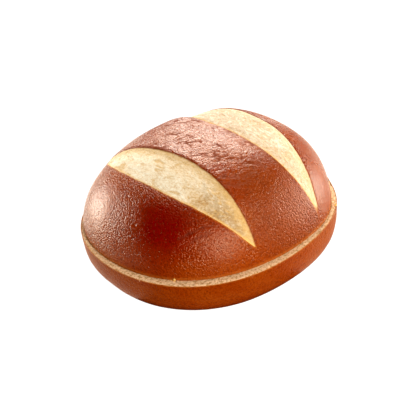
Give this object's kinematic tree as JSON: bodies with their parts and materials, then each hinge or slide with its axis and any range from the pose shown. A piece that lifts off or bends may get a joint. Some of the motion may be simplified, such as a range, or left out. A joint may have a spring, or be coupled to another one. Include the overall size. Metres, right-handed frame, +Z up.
{
  "type": "pretzel burger bun",
  "caption": "Sliced pretzel burger bun: a glossy brown domed crown with open pale slashes, lying on its low flat-bottomed heel.",
  "frame": {"origin": "middle of the flat underside that the bun rests on, at the centre of the whole bun's length and width", "axes": "+X across the two slashes, along the bun's longest side; +Y along the slashes; +Z up, from the heel to the crown"},
  "size_m": [0.11, 0.103, 0.0505],
  "materials": {
    "crown_crust": "satin-gloss lye-baked crust, deep chestnut brown, finely pimpled and wrinkled",
    "heel_crust": "satin baked crust, orange brown, darker at its lower edge",
    "crumb": "matte cream crumb with golden edges and small pits"
  },
  "bodies": {
    "root": {"crown": "crown_crust", "heel": "heel_crust"}
  },
  "joints": []
}
